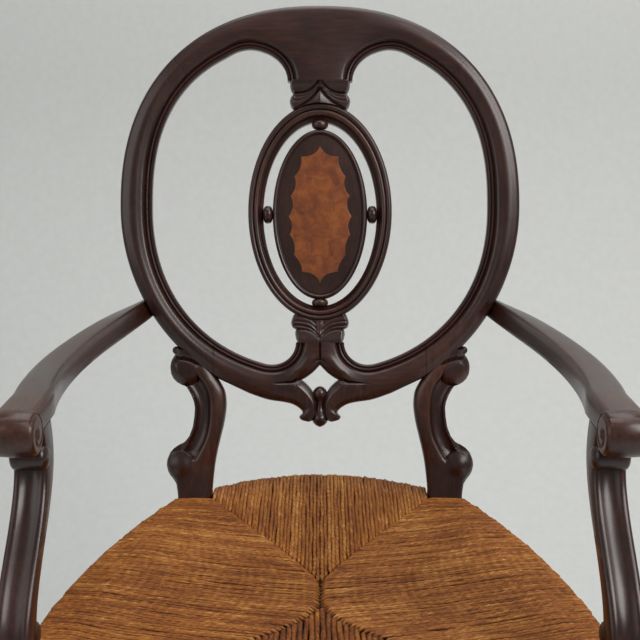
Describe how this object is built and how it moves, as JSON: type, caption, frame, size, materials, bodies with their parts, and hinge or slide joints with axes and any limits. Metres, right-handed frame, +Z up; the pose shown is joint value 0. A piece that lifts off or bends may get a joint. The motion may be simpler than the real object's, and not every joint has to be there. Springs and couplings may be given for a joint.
{
  "type": "rush seat armchair",
  "caption": "Open armchair with an oval back, an inlaid medallion in a carved ring, scrolled back posts, swept arms and a dished rush seat on turned front legs.",
  "frame": {"origin": "on the floor under the middle of the chair's box", "axes": "+Z up, the chair faces -Y, +X to the right for someone who faces the chair"},
  "size_m": [0.5222, 0.5826, 0.9852],
  "materials": {
    "mahogany": "dark polished mahogany, satin gloss",
    "satinwood_inlay": "burr satinwood veneer, satin",
    "rush": "hand-twisted rush, slightly waxy",
    "straw_stuffing": "loose straw and rush ends, matt",
    "beech": "unpolished beech, hidden"
  },
  "bodies": {
    "root": {"crest_rail": "mahogany", "stile_left": "mahogany", "stile_right": "mahogany", "lower_rail": "mahogany", "pendant_drop": "mahogany", "splat_ring": "mahogany", "medallion": "mahogany", "inlay_panel": "satinwood_inlay", "bead_top": "mahogany", "bead_bottom": "mahogany", "bead_left": "mahogany", "bead_right": "mahogany", "rear_leg_left": "mahogany", "rear_leg_right": "mahogany", "front_leg_left": "mahogany", "front_leg_right": "mahogany", "arm_left": "mahogany", "arm_right": "mahogany", "arm_support_left": "mahogany", "arm_support_right": "mahogany", "front_rail": "beech", "rear_rail": "beech", "side_rail_left": "beech", "side_rail_right": "beech", "rear_stretcher": "mahogany", "cross_stretcher": "mahogany", "side_stretcher_left": "mahogany", "side_stretcher_right": "mahogany", "rush_seat": "rush", "seat_stuffing": "straw_stuffing", "back_dowels": "beech", "arm_dowels": "beech"}
  },
  "joints": []
}
